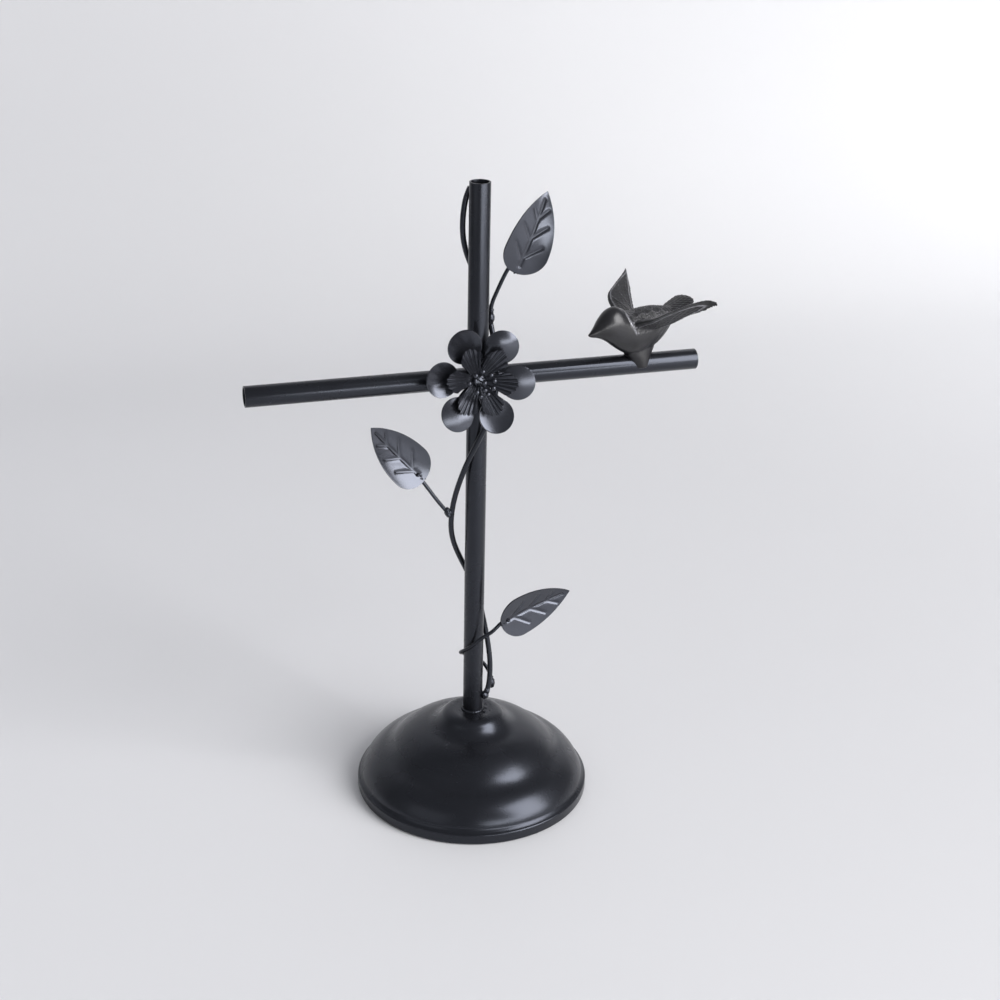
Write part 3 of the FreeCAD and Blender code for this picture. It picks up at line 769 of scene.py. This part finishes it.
def leaf_piece(leaf):
    """Pressed leaf: a grid drawn out to the outline, bowed, folded along the midrib, with
    raised veins whose two edges carry a painted highlight, then given the sheet's thickness."""
    bow, fold = LEAVES[leaf][3:]
    total, widest = sizes().leaf_length / MM, sizes().leaf_half_width / MM
    half_width = leaf_half_width()
    placement = LEAF_FRAMES[leaf]
    middle = total / 2
    veins = [((a * total, b * widest), (c * total, d * widest)) for (a, b), (c, d) in VEINS]

    def press(x, y):
        """Depth of the veins and how raised the point is."""
        rib, along = segment_distance(x, y, (0.10 * total, 0.0), (0.90 * total, 0.0))
        taper = 1.0 - 0.45 * along
        depth = math.exp(-(rib / (1.45 * taper)) ** 2)
        for start, end in veins:
            off, run = segment_distance(x, y, start, end)
            depth = max(depth, (1.0 - 0.35 * run) * math.exp(-(off / (1.35 - 0.45 * run)) ** 2))
        return depth

    relief = []

    def place(u, v):
        x = total * (0.5 - 0.5 * math.cos(math.pi * u))
        wide = half_width(x)
        y = (2.0 * v - 1.0) * wide
        sheet = bow * ((x - middle) ** 2 - middle ** 2) + fold * (math.hypot(y, 1.2) - 1.2)
        sheet += 0.010 * y * y * (1.0 if leaf != "lower" else 0.2)
        depth = press(x, y)
        edge = smooth_step(0.0, 0.14, min(u, 1.0 - u)) * smooth_step(0.0, 0.10, min(v, 1.0 - v))
        relief.append((x, y, depth * edge))
        return placement @ Vector((x, y, sheet - 0.55 * depth * edge))

    piece = spread(leaf + "_leaf_sheet", 150, 96, place)
    # relief: high on the vein edges (painted highlight), low along the vein bottoms (painted shade)
    store(piece, "relief", [0.5 - 0.45 * depth + 0.5 * math.exp(-((depth - 0.3) / 0.14) ** 2)
                            for x, y, depth in relief])
    tidied(piece, 0.00002, outward=False)
    faced(piece, placement.to_3x3() @ Vector((0, 0, 1)))
    applied(piece, "SOLIDIFY", thickness=sizes().leaf_sheet, offset=-1.0)
    bevelled(piece, 0.00014, 2, 60)
    smoothed(piece, 40.0)
    return piece


class STAND_OT_leaves(bpy.types.Operator):
    """Presses the three veined leaves"""
    bl_idname = "stand.leaves"
    bl_label = "Add leaves"

    def execute(self, context):
        coat = smooth_coat("smooth coat on leaves", finishes().leaf, finishes().leaf_roughness,
                           (220.0, 900.0, 220.0))
        for leaf in LEAVES:
            finished(leaf_piece(leaf), coat, "leaf_black", leaf + "_leaf")
        return {"FINISHED"}


def ring_copies(name, piece, count):
    """Copies a piece round the flower's axis, each with its own mesh, and joins them."""
    copies = []
    for index in range(count):
        only(piece)
        bpy.ops.object.duplicate(linked=False)
        copy = bpy.context.object
        copy.data.transform(Matrix.Rotation(math.tau / count * index, 4, "Z"))
        copies.append(copy)
    bpy.data.objects.remove(piece)
    whole = joined(name, copies)
    whole.data.transform(in_metres(FLOWER_FRAME))
    whole.data.update()
    return whole


# How deeply each outer petal is dished towards the viewer, in millimetres; a minus is domed.
PETAL_DISH = (-1.5, -2.6, 2.4, 2.0, -1.6, 1.5)


def in_metres(placement):
    """A placement given in millimetres, in metres."""
    to_world = placement.copy()
    to_world.translation *= MM
    return to_world


class STAND_OT_flower(bpy.types.Operator):
    """Builds the round outer petals, the pleated inner fans and the ball stamens"""
    bl_idname = "stand.flower"
    bl_label = "Add flower"

    def execute(self, context):
        f = finishes()
        coat = smooth_coat("smooth coat on petals", f.petal, f.petal_roughness, (420.0, 160.0, 420.0))
        fan_coat = smooth_coat("smooth coat on fans", f.petal, f.petal_roughness - 0.05,
                               (300.0, 300.0, 300.0))
        finished(self.outer(), coat, "flower_black", "outer_petals")
        finished(self.fans(), fan_coat, "flower_black", "inner_petals")
        self.stamens(fan_coat)
        dress(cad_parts["flower_stud"], black_coat("powder coat on stud", f.coat, f.coat_roughness))
        return {"FINISHED"}

    def outer(self):
        s = sizes()
        radius, centre = s.petal_round / MM, s.petal_centre / MM
        root, neck = 2.0, 3.4
        join = centre - math.sqrt(radius ** 2 - 5.0 ** 2)
        tip = centre + radius
        tilt = math.radians(12.0)

        petals = []
        for index, dish in enumerate(PETAL_DISH):
            def place(u, v):
                x = root + (tip - root) * (1.0 - math.cos(math.pi * u)) / 2
                if x < join:
                    wide = neck + (5.0 - neck) * smooth_step(root, join, x)
                else:
                    wide = math.sqrt(max(0.0, radius ** 2 - (x - centre) ** 2))
                y = (2.0 * v - 1.0) * wide
                height = dish * (min(1.0, math.hypot(x - centre, y) / radius) ** 2 - 0.25) + 0.9
                blend = smooth_step(root, centre - 0.5 * radius, x)
                height = height * blend + (1.0 - blend) * (0.45 + 0.05 * y * y)
                return Vector((x * math.cos(tilt) - height * math.sin(tilt), y,
                               x * math.sin(tilt) + height * math.cos(tilt)))

            petal = spread(f"petal_{index}", 80, 48, place)
            tidied(petal, 0.00002)
            faced(petal, Vector((0, 0, 1)))
            applied(petal, "SOLIDIFY", thickness=s.flower_sheet, offset=-1.0)
            bevelled(petal, 0.00016, 2, 60)
            smoothed(petal, 45.0)
            petal.data.transform(Matrix.Rotation(math.tau / 6 * index, 4, "Z"))
            petals.append(petal)
        whole = joined("petal_ring", petals)
        whole.data.transform(in_metres(FLOWER_FRAME))
        store(whole, "relief", [0.5] * len(whole.data.vertices))
        return whole

    def fans(self):
        s = sizes()
        reach = s.fan_reach / MM
        ribs, root = 6, 2.0
        tilt = math.radians(22.0)
        relief = []

        def place(u, v):
            side = 2.0 * v - 1.0
            scallop = abs(math.sin(math.pi * ribs * v))
            tip = reach * (1.0 - 0.12 * side * side) - 1.7 * (1.0 - scallop ** 0.7)
            along = root + (tip - root) * u
            wide = 1.9 + 5.9 * (along / reach) ** 1.1
            pleat = scallop ** 1.4 * (0.25 + 1.25 * u) * 0.62
            x, y = along * math.cos(0.55 * side * u), side * wide
            cup = 3.0 * side * side * u ** 1.2 + 0.6 * u ** 3
            height = 1.0 + cup + pleat
            # relief: high on the rib crests towards the tips (painted highlight), low in the valleys and near
            # the root (painted shade)
            relief.append(0.25 + 0.7 * scallop * u)
            return Vector((x * math.cos(tilt) - height * math.sin(tilt), y,
                           x * math.sin(tilt) + height * math.cos(tilt)))

        fan = spread("fan", 60, 112, place)
        store(fan, "relief", relief)
        tidied(fan, 0.00001)
        faced(fan, Vector((0, 0, 1)))
        applied(fan, "SOLIDIFY", thickness=s.flower_sheet * 0.7, offset=-1.0)
        smoothed(fan, 50.0)
        return ring_copies("fan_ring", fan, 6)

    def stamens(self, coat):
        """Ball-tipped wires and the button that holds them."""
        s = sizes()
        balls = [(-0.9, 6.9, 12.3), (4.4, 5.0, 12.0), (-5.0, 4.3, 12.0), (6.8, 1.6, 11.7),
                 (-8.3, -0.6, 11.4), (0.4, 0.4, 13.4), (6.6, -2.7, 11.6), (-3.4, -5.6, 12.0),
                 (3.6, -6.5, 11.6), (-0.6, -8.2, 11.3), (1.1, -4.0, 12.8)]
        pins = []
        for index, (x, y, z) in enumerate(balls):
            tip, foot = Vector((x, y, z)), Vector((x * 0.28, y * 0.28, 4.2))
            bulge = foot.lerp(tip, 0.5) + Vector((0, 0, 0.9))
            pins.append(wire(f"stalk_{index}", [foot, bulge, tip], 0.00045, 6, 3))
            ball = fresh(f"ball_{index}", bpy.ops.mesh.primitive_uv_sphere_add, segments=28, ring_count=16,
                         radius=s.bead_radius * (0.94 + 0.03 * (index % 4)), location=tip * MM)
            smoothed(ball, 60.0)
            pins.append(ball)
        to_world = in_metres(FLOWER_FRAME)
        pins = joined("stamen_balls", pins)
        pins.data.transform(to_world)
        store(pins, "relief", [0.5] * len(pins.data.vertices))
        finished(pins, coat, "flower_black", "stamens")
        button = fresh("flower_button", bpy.ops.mesh.primitive_cylinder_add, vertices=48, radius=0.0036,
                       depth=0.0030, location=(0, 0, 0.0034))
        bevelled(button, 0.0011, 5, 50)
        button.data.transform(to_world)
        smoothed(button, 50.0)
        store(button, "relief", [0.5] * len(button.data.vertices))
        finished(button, coat, "flower_black", "flower_boss")


# The bird's body: distance forward, underside height, back height, half width.
BODY = [(-30.0, 18.5, 22.0, 0.6), (-28.0, 17.2, 24.6, 3.4), (-24.0, 14.8, 26.6, 5.4), (-17.0, 8.4, 28.0, 7.6),
        (-10.0, 3.6, 29.2, 9.0), (0.0, 0.8, 29.4, 9.8), (7.0, 1.2, 28.8, 9.8), (12.0, 3.4, 29.8, 9.2),
        (16.0, 5.8, 32.2, 8.7), (20.0, 8.6, 33.8, 8.3), (25.0, 12.3, 32.6, 7.5), (30.0, 15.2, 28.6, 5.5),
        (34.0, 16.7, 24.2, 3.3), (37.5, 17.5, 21.0, 1.6), (39.6, 18.5, 19.7, 0.5)]
# A wing's planform by distance from the bird's middle: front edge (forward, height), rear edge.
WING_FRONT = [(4.0, 11.0, 19.6), (9.0, 10.4, 23.0), (14.0, 9.0, 25.6), (18.0, 7.8, 27.2),
              (22.0, 6.6, 29.4), (26.0, 3.6, 32.4), (30.0, -4.5, 35.9), (34.0, -13.4, 39.2),
              (38.0, -19.8, 40.6), (41.2, -22.8, 39.2), (42.6, -23.6, 38.0)]
WING_REAR = [(4.0, -8.0, 16.0), (9.0, -8.4, 17.8), (14.0, -9.5, 20.2), (18.0, -11.6, 22.3),
             (22.0, -13.8, 25.2), (26.0, -16.1, 28.2), (30.0, -18.6, 30.6), (34.0, -20.9, 32.6),
             (38.0, -22.9, 34.9), (41.2, -24.0, 37.0), (42.6, -24.2, 37.8)]


class STAND_OT_bird(bpy.types.Operator):
    """Casts the bird: body, tail, wings and foot joined and remeshed, then engraved"""
    bl_idname = "stand.bird"
    bl_label = "Add bird"

    def execute(self, context):
        parts = [self.body(), self.tail(), self.foot()] + [self.wing(side) for side in (1, -1)]
        bird = joined("cast_bird", parts)
        applied(bird, "REMESH", mode="VOXEL", voxel_size=0.00048)
        applied(bird, "SMOOTH", factor=0.5, iterations=3)
        self.engrave(bird)
        bird.data.transform(in_metres(BIRD_FRAME))
        self.seat(bird)
        smoothed(bird, 80.0)
        f = finishes()
        patina = cast_patina("dark patina", f.bird, f.bird_worn, f.bird_roughness)
        finished(bird, patina, "bird_dark", "bird")
        return {"FINISHED"}

    def body(self):
        def place(u, v):
            forward = BODY[0][0] + (BODY[-1][0] - BODY[0][0]) * (0.5 - 0.5 * math.cos(math.pi * u))
            low, high, wide = through(BODY, forward)
            turn = v * math.tau
            middle, half = (low + high) / 2, (high - low) / 2
            wide = wide if 0.0 < u < 1.0 else 0.0
            half = half if 0.0 < u < 1.0 else 0.0
            return forward, wide * math.cos(turn), middle + half * math.sin(turn)
        return wrapped("body", 90, 48, place)

    def tail(self):
        def place(u, v):
            forward = -14.0 - 26.5 * u
            wide = 4.6 + 4.2 * math.sin(0.5 * math.pi * min(1.0, u * 1.15))
            round_off = math.sqrt(max(0.0, 1.0 - max(0.0, (u - 0.80) / 0.20) ** 2))
            thick = (2.6 - 1.2 * u) * (round_off if u > 0.8 else 1.0)
            turn = v * math.tau
            height = 20.5 + 9.4 * u ** 1.15
            return forward, wide * round_off * math.cos(turn), height + thick * math.sin(turn)
        return wrapped("tail", 44, 40, place)

    def wing(self, side):
        def place(u, v):
            span = 4.0 + 38.6 * math.sin(0.5 * math.pi * u)
            front_a, front_h = through(WING_FRONT, span)
            rear_a, rear_h = through(WING_REAR, span)
            turn = v * math.tau
            chord = 0.5 - 0.5 * math.cos(turn)
            thick = (3.2 - 2.05 * smooth_step(4.0, 30.0, span)) * math.sin(turn)
            thick *= 1.0 if u < 1.0 else 0.0
            thick *= 0.6 + 0.4 * smooth_step(0.0, 0.4, 1.0 - chord)
            forward = front_a + (rear_a - front_a) * chord
            height = front_h + (rear_h - front_h) * chord + thick + 1.1 * math.sin(math.pi * chord)
            return forward, side * span, height
        return wrapped(f"wing{side}", 64, 56, place)

    def foot(self):
        def place(u, v):
            height = 11.0 - 19.0 * u
            along = 12.6 - 6.6 * smooth_step(0.15, 0.95, u)
            across = 6.8 + 1.3 * smooth_step(0.2, 0.8, u)
            close = math.sqrt(max(0.0, 1.0 - max(0.0, (u - 0.93) / 0.07) ** 2)) if u > 0.93 else 1.0
            close = 0.0 if u in (0.0, 1.0) else close
            turn = v * math.tau
            return -0.5 + along * close * math.cos(turn), across * close * math.sin(turn), height
        return wrapped("foot", 40, 40, place)

    def engrave(self, bird):
        """Feather lines on wings, tail and back, a raised collar behind the head."""
        relief, feathered = [], []
        for vertex in bird.data.vertices:
            forward, sideways, height = vertex.co / MM
            normal = vertex.normal
            mark, zone = self.marks(forward, abs(sideways), height, normal)
            vertex.co += normal * (mark * 0.36 * MM)
            relief.append(0.5 + 0.5 * mark)
            feathered.append(zone)
        store(bird, "relief", relief)
        store(bird, "feathered", feathered)
        bird.data.update()

    def marks(self, forward, off, height, normal):
        """Raised (up to 1) or cut (down to -1), and how feathered the place is."""
        if off > 9.5 and height > 17.0:
            front = through(WING_FRONT, off)[0]
            rear = through(WING_REAR, off)[0]
            chord = (front - forward) / max(0.5, front - rear)
            edge = min(forward - rear, front - forward, (43.0 - off) * 0.8)
            border = math.exp(-((edge - 2.3) / 0.55) ** 2)
            inside = smooth_step(2.6, 3.4, edge)
            vane = math.sin((chord * 2.6 + off * 0.11) * math.pi)
            barb = math.sin((forward * 0.9 + off * 1.5) * 1.5) * math.sin((forward * 0.9 - off * 1.1) * 1.2)
            ridge = math.exp(-(vane / 0.22) ** 2)
            mark = border + inside * (0.75 * ridge - 0.45 + 0.35 * barb)
            mark -= 0.25 * (1.0 - inside) * (1.0 - border)
            return max(-1.0, min(1.0, mark)) * smooth_step(0.1, 1.5, edge), 1.0
        if forward < -17.0 and height > 19.0 and off < 9.5:
            quill = math.exp(-(math.sin(off * 1.25) / 0.35) ** 2)
            barb = math.sin(forward * 2.4 + off * 1.6)
            return max(-1.0, min(1.0, 0.5 * quill - 0.25 + 0.3 * barb)), 1.0
        collar_at = 14.6 - 0.42 * max(0.0, 29.0 - height)
        collar = math.exp(-((forward - collar_at) / 0.9) ** 2) * smooth_step(15.0, 19.0, height)
        if forward < collar_at and height > 20.5:
            row = math.floor(forward / 4.2)
            within = forward / 4.2 - row
            column = off / 4.0 + 0.5 * (row % 2)
            across = column - math.floor(column) - 0.5
            scale_edge = math.hypot(within - 0.55, across * 1.15)
            scale_line = math.exp(-((scale_edge - 0.46) / 0.10) ** 2)
            fine = math.sin(forward * 3.1) * math.sin(off * 2.7)
            zone = smooth_step(0.0, 2.0, collar_at - forward)
            return max(-1.0, min(1.0, collar + zone * (0.8 * scale_line - 0.3 + 0.2 * fine))), zone
        if forward < -7.0 and height < 21.0 and height > 2.0:
            plume = math.exp(-(math.sin((forward + 0.8 * height) * 0.85) / 0.3) ** 2)
            return max(-1.0, min(1.0, 0.6 * plume - 0.25)), smooth_step(-7.0, -10.0, forward)
        return min(1.0, collar), 0.25 * collar

    def seat(self, bird):
        """Cuts the foot away where it sits on the arm, leaving it a hair clear of the tube."""
        cutter = fresh("arm_seat", bpy.ops.mesh.primitive_cylinder_add, vertices=160,
                       radius=sizes().tube_radius + 0.00003, depth=0.09,
                       location=(0.1, 0.0, sizes().bar_height), rotation=(0.0, math.pi / 2, 0.0))
        applied(bird, "BOOLEAN", operation="DIFFERENCE", solver="EXACT", object=cutter)
        bpy.data.objects.remove(cutter)


# ---- stage ---------------------------------------------------------------------------------
STUDIO_LIGHTS = [
    # name, place, aimed at, width, height, watts, tint, spread in degrees
    ("key", (1.75, -1.70, 1.40), (0.0, 0.0, 0.16), 1.55, 2.25, 104.0, (1.0, 0.99, 1.0), 180.0),
    ("left fill", (-1.6, -0.9, 0.75), (0.0, 0.0, 0.15), 1.4, 1.0, 2.0, (1.0, 1.0, 1.0), 180.0),
    ("front strip", (0.40, -1.5, 0.38), (0.1, 0.0, 0.28), 0.96, 0.27, 6.4, (1.0, 1.0, 1.0), 180.0),
    ("backdrop wash", (0.1, 2.3, 2.3), (0.05, 2.2, 0.0), 4.4, 1.4, 38.0, (1.0, 1.0, 1.0), 60.0),
]
ROOM_TINT, ROOM_STRENGTH = (0.93, 0.95, 1.0), 0.32
CAMERA_PLACE = (-0.27469, -0.93976, 0.64467)
CAMERA_YAW, CAMERA_PITCH, CAMERA_ROLL = 0.29981, -0.42264, 0.02086
CAMERA_LENS, CAMERA_SENSOR = 62.37, 36.0


def softbox(name, place, target, width, height, power, tint, spread_deg):
    light = bpy.data.lights.new(name, "AREA")
    light.shape, light.size, light.size_y = "RECTANGLE", width, height
    light.energy, light.color, light.spread = power, tint, math.radians(spread_deg)
    lamp = bpy.data.objects.new(name, light)
    bpy.context.scene.collection.objects.link(lamp)
    lamp.location = place
    lamp.rotation_mode = "QUATERNION"
    lamp.rotation_quaternion = (Vector(target) - Vector(place)).to_track_quat("-Z", "Y")


def studio_camera():
    """Camera on the stand's left, a little above it, turned by its yaw, pitch and roll."""
    lens = bpy.data.cameras.new("camera")
    lens.lens, lens.sensor_width, lens.sensor_fit = CAMERA_LENS, CAMERA_SENSOR, "HORIZONTAL"
    lens.clip_start, lens.clip_end = 0.05, 30.0
    camera = bpy.data.objects.new("camera", lens)
    bpy.context.scene.collection.objects.link(camera)
    yaw, pitch, roll = CAMERA_YAW, CAMERA_PITCH, CAMERA_ROLL
    ahead = Vector((math.sin(yaw) * math.cos(pitch), math.cos(yaw) * math.cos(pitch), math.sin(pitch)))
    right = Vector((math.cos(yaw), -math.sin(yaw), 0.0))
    up = right.cross(ahead)
    tilted_right = right * math.cos(roll) + up * math.sin(roll)
    tilted_up = up * math.cos(roll) - right * math.sin(roll)
    turn = Matrix((tilted_right, tilted_up, -ahead)).transposed().to_4x4()
    camera.matrix_world = Matrix.Translation(CAMERA_PLACE) @ turn
    return camera


class STAND_OT_stage(bpy.types.Operator):
    """Sets the pale floor and backdrop, the soft lights and the camera"""
    bl_idname = "stand.stage"
    bl_label = "Add stage"

    def execute(self, context):
        total_run, width, front = 9600.0, 13000.0, -6000.0
        bend_start, bend_radius = 6800.0, 600.0

        def sweep(u, v):
            run, across = u * total_run, (v - 0.5) * width
            if run < bend_start:
                return across, run + front, 0.0
            turn = min(math.pi / 2, (run - bend_start) / bend_radius)
            rest = max(0.0, run - bend_start - bend_radius * math.pi / 2)
            return (across, bend_start + front + bend_radius * math.sin(turn),
                    bend_radius * (1.0 - math.cos(turn)) + rest)

        floor = spread("studio_sweep", 192, 14, sweep)
        smoothed(floor, 60.0)
        dress(floor, floor_paint("pale sweep", finishes().floor))

        world = bpy.data.worlds.new("studio")
        context.scene.world = world
        world.use_nodes = True
        background = world.node_tree.nodes["Background"]
        background.inputs["Color"].default_value = (*ROOM_TINT, 1.0)
        background.inputs["Strength"].default_value = ROOM_STRENGTH

        for light in STUDIO_LIGHTS:
            softbox(*light)
        context.scene.camera = studio_camera()
        context.scene.view_settings.view_transform = "Standard"
        return {"FINISHED"}


class STAND_PT_panel(bpy.types.Panel):
    bl_idname = "STAND_PT_panel"
    bl_label = "Mug Stand"
    bl_space_type = "VIEW_3D"
    bl_region_type = "UI"
    bl_category = "Mug Stand"

    def draw(self, context):
        column = self.layout.column()
        for step in STEPS:
            column.operator(step.bl_idname)
        for group in (context.scene.stand_sizes, context.scene.stand_finishes):
            box = self.layout.box()
            for name in group.__annotations__:
                box.prop(group, name)


STEPS = (STAND_OT_base, STAND_OT_tubes, STAND_OT_welds, STAND_OT_vine, STAND_OT_leaves,
         STAND_OT_flower, STAND_OT_bird, STAND_OT_stage)
CLASSES = (StandSizes, StandFinishes) + STEPS + (STAND_PT_panel,)


def register():
    for one in CLASSES:
        bpy.utils.register_class(one)
    bpy.types.Scene.stand_sizes = bpy.props.PointerProperty(type=StandSizes)
    bpy.types.Scene.stand_finishes = bpy.props.PointerProperty(type=StandFinishes)


def unregister():
    del bpy.types.Scene.stand_finishes
    del bpy.types.Scene.stand_sizes
    for one in reversed(CLASSES):
        bpy.utils.unregister_class(one)


def main():
    register()
    for step in (bpy.ops.stand.base, bpy.ops.stand.tubes, bpy.ops.stand.welds, bpy.ops.stand.vine,
                 bpy.ops.stand.leaves, bpy.ops.stand.flower, bpy.ops.stand.bird, bpy.ops.stand.stage):
        step()


if __name__ == "__main__":
    main()
